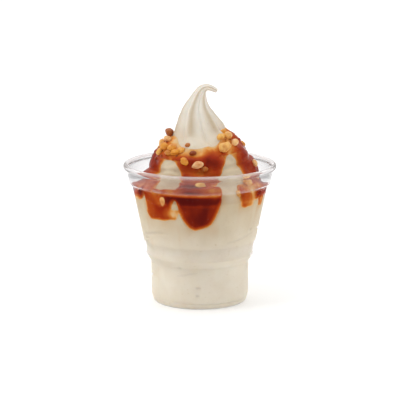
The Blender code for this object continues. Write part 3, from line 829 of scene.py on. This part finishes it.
# Small ones that the solids leave out, laid after the rest
SMALL_NUTS_IN_FRONT = metres((1, 2), [
    (-12, 93.6, 4.8, 3, 0.1, 0.05, 0.03),
    (-22.5, 97.2, 3.6, 4, 0, 0.12, 0.22),
    (37.5, 71, 4.6, 1, 1.2, 0, 0.7),
    (-34.5, 66.6, 6.8, 3, 1, -0.06, 0.8),
])
# Those behind, in groups: angle, height, how far they spread in degrees and in height,
# how many, length
NUT_GROUPS = metres((1, 3, 5), [
    (128, 96, 16, 4, 4, 5.6),
    (178, 97, 18, 3.5, 4, 5.4),
    (-140, 94, 14, 5, 4, 5.8),
    (-104, 97, 10, 3.5, 3, 5.2),
    (118, 84, 8, 3, 2, 5),
    (140, 84, 8, 3, 1, 5.4),
    (-175, 86, 10, 3, 1, 5),
])
NUT_SIZES = (0.75, 1.2)
NUT_SPACING = 0.42  # as a share of two nuts' lengths
NUT_TRIES = 60
GROUP_TONES = (0.2, 1.0)
CRUMBS_EACH = 2
CRUMBS_FROM = 34.0  # the front between the two lobes is clear of crumbs up to this angle
CRUMBS_ABOVE = 83 * MM  # nuts under this height have none
CRUMBS_INSIDE = 1.5 * MM  # from the sauce's edge
CRUMB_SPREAD = (9.0, 2.6 * MM)  # in degrees and in height
CRUMB_LENGTH = 1.5 * MM
CRUMB_SIZES = (0.6, 1.5)


def chopped_nut(name, kind):
    """A chopped piece of peanut of unit length: a flattened ball with one to three broken faces."""
    chance = random.Random(kind)
    shape = bmesh.new()
    bmesh.ops.create_icosphere(shape, subdivisions=4, radius=0.5)
    tall = chance.uniform(*NUT_THICKNESS)
    for v in shape.verts:
        v.co = Vector((v.co.x, v.co.y * NUT_WIDTHS[kind], v.co.z * tall))
    for _ in range(chance.choice(BREAKS)):
        way = Vector([chance.gauss(0, 1) for _ in range(3)]).normalized()
        face_at = way * chance.uniform(*BREAK_AT)
        for v in shape.verts:
            past = (v.co - face_at).dot(way)
            if past > 0:
                v.co -= way * past * BREAK_FLATNESS
    points = np.array([v.co for v in shape.verts])
    lumps = sum(deep * wobble(points, size, seed + kind) for deep, size, seed in NUT_LUMPS)
    for v, rise in zip(shape.verts, lumps):
        v.co *= 1 + rise
    mesh = bpy.data.meshes.new(name)
    shape.to_mesh(mesh)
    shape.free()
    mesh.shade_smooth()
    mesh.set_sharp_from_angle(angle=math.radians(NUT_CORNER))
    return bpy.data.objects.new(name, mesh)


def scatter_tree(shapes, material):
    """Copies of the shapes at a mesh's points, turned, sized and chosen by its attributes."""
    tree = bpy.data.node_groups.new("scatter nuts", "GeometryNodeTree")
    tree.interface.new_socket("Geometry", in_out="INPUT", socket_type="NodeSocketGeometry")
    size_in = tree.interface.new_socket("Size", in_out="INPUT", socket_type="NodeSocketFloat")
    size_in.default_value = 1.0
    tree.interface.new_socket("Geometry", in_out="OUTPUT", socket_type="NodeSocketGeometry")
    add = tree.nodes.new
    start, end = add("NodeGroupInput"), add("NodeGroupOutput")

    def attribute(name, kind):
        node = add("GeometryNodeInputNamedAttribute")
        node.data_type = kind
        node.inputs["Name"].default_value = name
        return node.outputs["Attribute"]

    info = add("GeometryNodeCollectionInfo")
    info.inputs["Collection"].default_value = shapes
    info.inputs["Separate Children"].default_value = True
    info.inputs["Reset Children"].default_value = True
    place = add("GeometryNodeInstanceOnPoints")
    place.inputs["Pick Instance"].default_value = True
    turn = add("FunctionNodeEulerToRotation")
    scale = add("ShaderNodeMath")
    scale.operation = "MULTIPLY"
    keep = add("GeometryNodeStoreNamedAttribute")
    keep.domain = "INSTANCE"
    keep.data_type = "FLOAT"
    keep.inputs["Name"].default_value = "tone"
    real, paint = add("GeometryNodeRealizeInstances"), add("GeometryNodeSetMaterial")
    paint.inputs["Material"].default_value = material
    link = tree.links.new
    link(start.outputs["Geometry"], place.inputs["Points"])
    link(info.outputs["Instances"], place.inputs["Instance"])
    link(attribute("kind", "INT"), place.inputs["Instance Index"])
    link(attribute("turn", "FLOAT_VECTOR"), turn.inputs["Euler"])
    link(turn.outputs["Rotation"], place.inputs["Rotation"])
    link(attribute("length", "FLOAT"), scale.inputs[0])
    link(start.outputs["Size"], scale.inputs[1])
    link(scale.outputs["Value"], place.inputs["Scale"])
    link(place.outputs["Instances"], keep.inputs["Geometry"])
    link(attribute("tone", "FLOAT"), keep.inputs["Value"])
    link(keep.outputs["Geometry"], real.inputs["Geometry"])
    link(real.outputs["Geometry"], paint.inputs["Geometry"])
    link(paint.outputs["Geometry"], end.inputs["Geometry"])
    return tree, size_in.identifier


def laid(angle, height, length, kind, spin, lift, chance):
    """Where a nut lies on the sauce: its middle, turn, length and kind."""
    angles = np.array([angle, angle + BESIDE, angle])
    heights = np.array([height, height, height + ABOVE])
    here, beside, above = [Vector(p) for p in surface(angles, heights, "sauce")[0]]
    across = (beside - here).normalized()
    outward = across.cross(above - here).normalized()
    lie = Matrix((across, outward.cross(across), outward)).transposed()
    lean = Euler([chance.uniform(-NUT_LEAN, NUT_LEAN) for _ in range(2)] + [spin])
    turn = (lie @ lean.to_matrix()).to_euler()
    return here + outward * lift * length, turn, length, kind


def apart(nut, other):
    return (nut[0] - other[0]).length > NUT_SPACING * (nut[2] + other[2])


def big_nut_places():
    """As in the solids, with a tone for each nut, and then the small ones."""
    chance = random.Random(NUT_SEED)
    placed = [laid(*nut[:6], chance) for nut in NUTS_IN_FRONT]
    for angle, height, spread, rise, count, length in NUT_GROUPS:
        for _ in range(count):
            for _ in range(NUT_TRIES):
                at = angle + chance.uniform(-spread, spread)
                up = height + chance.uniform(-rise, rise)
                size = length * chance.uniform(*NUT_SIZES)
                kind = chance.randrange(len(NUT_WIDTHS))
                nut = laid(at, up, size, kind, chance.uniform(0.0, WHOLE_TURN), NUT_LIFT, chance)
                if all(apart(nut, other) for other in placed):
                    break
            placed.append(nut)
    chance = random.Random(NUT_SEED + 1)
    tones = [nut[6] for nut in NUTS_IN_FRONT]
    tones += [chance.uniform(*GROUP_TONES) for _ in range(len(placed) - len(tones))]
    placed += [laid(*nut[:6], chance) for nut in SMALL_NUTS_IN_FRONT]
    tones += [nut[6] for nut in SMALL_NUTS_IN_FRONT]
    return [(*nut, tone) for nut, tone in zip(placed, tones)]


def crumb_places():
    """Crumbs round the nuts, where there is sauce for them to lie on."""
    chance = random.Random(NUT_SEED + 2)
    spots = [nut[:2] for nut in NUTS_IN_FRONT if nut[1] > CRUMBS_ABOVE]
    spots += [group[:2] for group in NUT_GROUPS for _ in range(group[4])]
    placed = []
    for angle, height in spots:
        for _ in range(CRUMBS_EACH):
            at = angle + chance.gauss(0, CRUMB_SPREAD[0])
            up = height + chance.gauss(0, CRUMB_SPREAD[1])
            reach = sauce_reach(np.array([at]), np.array([up]), profile(np.array([up])))[0]
            size = CRUMB_LENGTH * chance.uniform(*CRUMB_SIZES)
            kind = chance.randrange(len(NUT_WIDTHS))
            nut = laid(at, up, size, kind, chance.uniform(0.0, WHOLE_TURN), NUT_LIFT, chance)
            if reach > CRUMBS_INSIDE and abs(at) > CRUMBS_FROM:
                placed.append((*nut, chance.random()))
    return placed


def within_wall(mesh):
    """Brings points that stand through the cup's wall back into it."""
    for vertex in mesh.vertices:
        reach = math.hypot(vertex.co.x, vertex.co.y)
        limit = inside_radius(vertex.co.z) + INTO_WALL
        if vertex.co.z < NUT_LIMIT_TOP and reach > limit:
            vertex.co.x *= limit / reach
            vertex.co.y *= limit / reach


def scatter_nuts(name, shapes, material, placed):
    """One piece of the nuts at these places: middle, turn, length, kind and tone."""
    middles, turns, lengths, kinds, tones = zip(*placed)
    mesh = bpy.data.meshes.new(name)
    mesh.from_pydata(middles, [], [])
    store(mesh, "length", lengths)
    mesh.attributes.new("kind", "INT", "POINT").data.foreach_set("value", kinds)
    store(mesh, "tone", tones)
    turns = [part for turn in turns for part in turn]
    mesh.attributes.new("turn", "FLOAT_VECTOR", "POINT").data.foreach_set("vector", turns)
    piece = in_scene(name, mesh)
    tree, size_socket = scatter_tree(shapes, material)
    scatter = piece.modifiers.new("scatter", "NODES")
    scatter.node_group = tree
    scatter[size_socket] = 1.0
    within_wall(bake(piece))
    bpy.data.node_groups.remove(tree)
    return piece


# ---- materials


class Recipe:
    """A material and short ways to add and join its nodes."""

    def __init__(self, name):
        self.material = bpy.data.materials.new(name)
        self.material.use_nodes = True
        self.tree = self.material.node_tree
        self.shader = self.tree.nodes["Principled BSDF"]
        self.output = self.tree.nodes["Material Output"]
        self.place = self.add("ShaderNodeTexCoord").outputs["Object"]

    def add(self, kind, **settings):
        node = self.tree.nodes.new(kind)
        for name, value in settings.items():
            setattr(node, name, value)
        return node

    def fill(self, sockets, values):
        """Joins outputs to sockets, or sets what the sockets hold."""
        for socket, value in zip(sockets, values):
            if hasattr(value, "links"):
                self.tree.links.new(value, socket)
            elif socket.type == "RGBA":
                socket.default_value = (*value, 1.0)
            else:
                socket.default_value = value

    def feed(self, node, **values):
        """As fill, for sockets of a node by their names."""
        self.fill([node.inputs[name.replace("_", " ")] for name in values], values.values())

    def coat(self, **values):
        """As feed, for the material's own shader."""
        self.feed(self.shader, **values)

    def noise(self, scale, detail=3.0, roughness=0.5, place=None):
        node = self.add("ShaderNodeTexNoise")
        self.feed(node, Vector=place or self.place, Scale=scale, Detail=detail, Roughness=roughness)
        return node.outputs["Fac"]

    def streaks(self, scale, tall):
        """Noise drawn out downwards."""
        stretch = self.add("ShaderNodeMapping")
        self.feed(stretch, Vector=self.place, Scale=(1.0, 1.0, 1.0 / tall))
        return self.noise(scale, place=stretch.outputs["Vector"])

    def level(self, whole):
        """How high a place is, as a share of the whole height."""
        parts = self.add("ShaderNodeSeparateXYZ")
        self.feed(parts, Vector=self.place)
        return self.maths("DIVIDE", parts.outputs["Z"], whole)

    def ramp(self, value, *stops):
        """Colours from stops of a place from 0 to 1 and a colour."""
        node = self.add("ShaderNodeValToRGB")
        self.feed(node, Fac=value)
        ramp = node.color_ramp
        while len(ramp.elements) < len(stops):
            ramp.elements.new(0.5)
        for element, (at, colour) in zip(ramp.elements, stops):
            element.position = at
            element.color = (*colour, 1.0)
        return node.outputs["Color"]

    def shares(self, value, *stops):
        """Shares from stops of a place from 0 to 1 and a share."""
        return self.ramp(value, *[(at, (share, share, share)) for at, share in stops])

    def mix(self, share, a, b, blend="MIX"):
        node = self.add("ShaderNodeMix", data_type="RGBA", blend_type=blend)
        self.fill((node.inputs[0], node.inputs[6], node.inputs[7]), (share, a, b))
        return node.outputs[2]

    def maths(self, operation, a, b, clamp=False):
        node = self.add("ShaderNodeMath", operation=operation, use_clamp=clamp)
        self.fill(node.inputs, (a, b))
        return node.outputs["Value"]

    def either(self, share, a, b):
        """The shader a where the share is 0, and b where it is 1."""
        node = self.add("ShaderNodeMixShader")
        self.fill(node.inputs, (share, a, b))
        return node.outputs["Shader"]

    def attribute(self, name):
        return self.add("ShaderNodeAttribute", attribute_name=name).outputs["Fac"]

    def free_gloss(self, gloss):
        """This gloss in the open, and nearly none where the food wets the cup."""
        wet = self.maths("MULTIPLY", self.attribute("pressed"), WETTED_GLOSS_LOSS)
        return self.maths("MULTIPLY", self.maths("SUBTRACT", 1.0, wet), gloss)

    def bump(self, *layers):
        """Each layer is a height, its strength and its depth in metres."""
        below = {}
        for height, strength, depth in layers:
            node = self.add("ShaderNodeBump")
            self.feed(node, Height=height, Strength=strength, Distance=depth, **below)
            below = {"Normal": node.outputs["Normal"]}
        self.coat(**below)


# Where the cup leaves the food, as shares of its height, and how strongly it bends light
ABOVE_FOOD = (0.86, 0.91)
WETTED_IOR = 1.035
FREE_IOR_MORE = 0.145
ICE_CREAM_SPAN = 140 * MM  # the height over which the painted shade and light on the ice cream change
# Streaks in the sauce: how fine, how far drawn out, and how much depth they seem to add
STREAKS = (150.0, 3.0)
STREAK_DEPTH = 1.6
DARKEST_DEPTH = 3.0  # in millimetres, as STREAK_DEPTH is
WETTED_GLOSS_LOSS = 0.95


def clear_plastic():
    """Clear plastic that hardly shows against the food, with a pale veil: a faint milkiness over
    the collar and painted highlights at its foot and on the lip.
    """
    m = Recipe("clear cup plastic")
    level = m.level(CUP_HEIGHT)
    above = m.add("ShaderNodeMapRange")
    m.feed(above, Value=level, From_Min=ABOVE_FOOD[0], From_Max=ABOVE_FOOD[1])
    above_food = above.outputs["Result"]
    slant = m.add("ShaderNodeLayerWeight")
    m.feed(slant, Blend=0.3)
    edge_on = m.maths("MULTIPLY", slant.outputs["Facing"], above_food)
    tint = m.mix(edge_on, (0.955, 0.95, 0.955), (0.56, 0.57, 0.59))
    bending = m.maths("ADD", m.maths("MULTIPLY", above_food, FREE_IOR_MORE), WETTED_IOR)
    m.coat(Base_Color=tint, Roughness=0.03, IOR=bending, Transmission_Weight=1.0)
    m.bump((m.noise(60.0, 2.0), 0.12, 0.4 * MM))
    # Painted highlights: pale bands at the collar's foot and on the lip, over a faint milkiness of
    # the collar
    milky_highlight_share = m.shares(level, (0.855, 0.0), (0.868, 0.15), (0.882, 0.05), (0.974, 0.05), (0.988, 0.30))
    pale = m.add("ShaderNodeBsdfDiffuse")
    m.feed(pale, Color=(0.95, 0.89, 0.86))
    with_milky_highlight = m.either(milky_highlight_share, m.shader.outputs["BSDF"], pale.outputs["BSDF"])
    in_shadow = m.add("ShaderNodeLightPath").outputs["Is Shadow Ray"]
    open_to_light = m.add("ShaderNodeBsdfTransparent").outputs["BSDF"]
    m.feed(m.output, Surface=m.either(in_shadow, with_milky_highlight, open_to_light))
    return m.material


def vanilla():
    """Warmer and darker round the shoulder with painted shade, whiter up the peak with painted
    light, stained beside the sauce.
    """
    m = Recipe("vanilla soft serve")
    tone = m.ramp(m.noise(90.0, 4.0, 0.55), (0.3, (0.81, 0.725, 0.60)), (0.7, (0.87, 0.80, 0.69)))
    speck = m.maths("GREATER_THAN", m.noise(900.0, 1.0), 0.73)
    tone = m.mix(speck, tone, (0.74, 0.64, 0.48))
    level = m.level(ICE_CREAM_SPAN)
    # Painted shade and light by height: darker and warmer round the shoulder, and brighter than the
    # ice cream's own tone up the peak
    painted_light_by_height = m.ramp(
        m.maths("ADD", level, m.maths("MULTIPLY", m.noise(30.0), 0.06)),
        (0.27, (0.97, 0.965, 0.93)),
        (0.37, (0.84, 0.80, 0.71)),
        (0.50, (0.75, 0.685, 0.555)),
        (0.67, (0.79, 0.73, 0.61)),
        (0.76, (0.97, 0.975, 0.97)),
        (0.90, (1.04, 1.09, 1.17)),
    )
    tone = m.mix(1.0, tone, painted_light_by_height, "MULTIPLY")
    # Painted shade: the ice cream's colour is darkened in bands up the peak
    painted_shade_tone = m.mix(1.0, tone, (0.70, 0.62, 0.51), "MULTIPLY")
    tone = m.mix(m.attribute("painted_shade"), tone, painted_shade_tone)
    stain_share = m.maths("MULTIPLY", m.attribute("stain"), 0.7, clamp=True)
    tone = m.mix(stain_share, tone, (0.62, 0.33, 0.13))
    rough = m.shares(m.noise(140.0), (0.3, 0.36), (0.75, 0.58))
    m.coat(Base_Color=tone, Roughness=rough, IOR=1.33, Specular_IOR_Level=m.free_gloss(0.5))
    m.coat(Subsurface_Weight=0.3, Subsurface_Scale=0.003, Subsurface_Radius=(1.0, 0.75, 0.5))
    m.bump((m.noise(420.0), 0.25, 0.25 * MM), (m.noise(1500.0, 2.0), 0.2, 0.08 * MM))
    return m.material


def caramel():
    """Pale where the sauce is a film or has light painted on it, and dark red brown where it is
    deep.
    """
    m = Recipe("caramel sauce")
    streaks = m.maths("MULTIPLY", m.maths("SUBTRACT", m.streaks(*STREAKS), 0.5), STREAK_DEPTH)
    depth = m.maths("ADD", m.attribute("depth"), streaks)
    colour = m.ramp(
        m.maths("DIVIDE", depth, DARKEST_DEPTH, clamp=True),
        (0.0, (0.74, 0.50, 0.26)),
        (0.06, (0.76, 0.38, 0.12)),
        (0.15, (0.64, 0.22, 0.040)),
        (0.30, (0.48, 0.085, 0.013)),
        (0.58, (0.32, 0.027, 0.006)),
        (0.78, (0.14, 0.011, 0.007)),
        (0.95, (0.10, 0.007, 0.006)),
    )
    rough = m.shares(m.noise(120.0, 2.0), (0.35, 0.14), (0.7, 0.28))
    m.coat(Base_Color=colour, Roughness=rough, IOR=1.45, Specular_IOR_Level=m.free_gloss(0.05))
    m.coat(Subsurface_Weight=0.1, Subsurface_Scale=0.0015, Subsurface_Radius=(1.0, 0.35, 0.15))
    m.bump((m.noise(110.0, 2.0), 0.35, 0.5 * MM))
    return m.material


def roasted_peanut():
    """From caramel-soaked brown to pale, by each nut's tone, with rubbed patches."""
    m = Recipe("roasted peanut")
    tone = m.ramp(
        m.attribute("tone"),
        (0.0, (0.26, 0.045, 0.010)),
        (0.25, (0.52, 0.17, 0.025)),
        (0.5, (0.80, 0.34, 0.035)),
        (0.75, (0.88, 0.50, 0.12)),
        (1.0, (0.92, 0.56, 0.27)),
    )
    patches = m.ramp(m.noise(260.0), (0.45, (1, 1, 1)), (0.7, (0.72, 0.50, 0.36)))
    m.coat(Base_Color=m.mix(1.0, tone, patches, "MULTIPLY"), Roughness=0.3, IOR=1.4)
    m.coat(Subsurface_Weight=0.1, Subsurface_Scale=0.0015, Subsurface_Radius=(1.0, 0.5, 0.25))
    m.bump((m.noise(700.0, 4.0, 0.6), 0.5, 0.25 * MM))
    return m.material


def pale_floor():
    m = Recipe("pale floor")
    tone = m.ramp(m.noise(3.0, 1.0), (0.4, (0.93, 0.93, 0.925)), (0.6, (0.94, 0.94, 0.935)))
    m.coat(Base_Color=tone, Roughness=0.6, Specular_IOR_Level=0.2)
    m.coat(Emission_Color=(1, 1, 1), Emission_Strength=0.2)
    return m.material


# ---- the object


def dress(piece, material, node):
    """Gives a piece its material and sets it in the place of a node of the solids."""
    piece.data.materials.clear()
    piece.data.materials.append(material)
    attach(piece, "root")
    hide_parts(node)


dress(build_cup(), clear_plastic(), "cup")
soft_serve = build_ice_cream()
dress(soft_serve, vanilla(), "ice_cream")
dress(build_sauce(soft_serve), caramel(), "caramel_sauce")

nut_shapes = bpy.data.collections.new("nut shapes")
for number in range(len(NUT_WIDTHS)):
    nut_shapes.objects.link(chopped_nut(f"nut_shape_{number}", number))
peanut = roasted_peanut()
for nut_piece in (
    scatter_nuts("peanut_pieces", nut_shapes, peanut, big_nut_places()),
    scatter_nuts("peanut_crumbs", nut_shapes, peanut, crumb_places()),
):
    dress(nut_piece, peanut, "caramel_sauce")
for shape in list(nut_shapes.objects):
    bpy.data.objects.remove(shape)
bpy.data.collections.remove(nut_shapes)

# ---- the studio

FLOOR_HALF = 9.0
corners = [(x * FLOOR_HALF, y * FLOOR_HALF, 0) for x, y in ((-1, -1), (1, -1), (1, 1), (-1, 1))]
floor = mesh_object("floor", corners, [(0, 1, 2, 3)])
floor.data.materials.append(pale_floor())

CAMERA_DISTANCE = 1.35
CAMERA_RISE = math.radians(11.7)
PICTURE_WIDTH = 400  # pixels
PIXEL = 0.6013 * MM  # what one covers at the sundae's axis
SENSOR_WIDTH = 36.0  # in millimetres, as the lens is
AIM = Vector((0.0001, 0.0, 0.0612))
camera = in_scene("camera", bpy.data.cameras.new("camera"))
toward_camera = Vector((0.0, -math.cos(CAMERA_RISE), math.sin(CAMERA_RISE)))
camera.location = AIM + CAMERA_DISTANCE * toward_camera
camera.rotation_euler = (math.pi / 2 - CAMERA_RISE, 0.0, 0.0)
camera.data.sensor_width = SENSOR_WIDTH
camera.data.lens = SENSOR_WIDTH * CAMERA_DISTANCE / (PICTURE_WIDTH * PIXEL)
bpy.context.scene.camera = camera

LIGHTS_AIM = Vector((0, 0, 0.07))


def soft_light(name, at, size, power):
    """A soft box at this place, turned to the sundae, with its power in watts."""
    light = bpy.data.lights.new(name, "AREA")
    light.shape = "RECTANGLE"
    light.size, light.size_y = size
    light.energy = power
    lamp = in_scene(name, light)
    lamp.location = at
    lamp.rotation_euler = (LIGHTS_AIM - lamp.location).to_track_quat("-Z", "Y").to_euler()


soft_light("left softbox", (-0.8, -0.35, 1.35), (0.6, 0.9), 6.2)
soft_light("right softbox", (1.2, -0.2, 0.6), (0.6, 0.9), 2.0)
soft_light("front softbox", (-0.35, -1.5, 0.9), (0.9, 0.9), 0.3)
soft_light("top softbox", (0.0, 0.9, 2.2), (4.0, 4.0), 36.0)

world = bpy.data.worlds.new("studio")
world.use_nodes = True
sky = world.node_tree.nodes["Background"]
sky.inputs["Color"].default_value = (1.0, 1.0, 1.0, 1.0)
sky.inputs["Strength"].default_value = 0.55
bpy.context.scene.world = world
bpy.context.scene.view_settings.view_transform = "Standard"
bpy.context.scene.view_settings.look = "None"
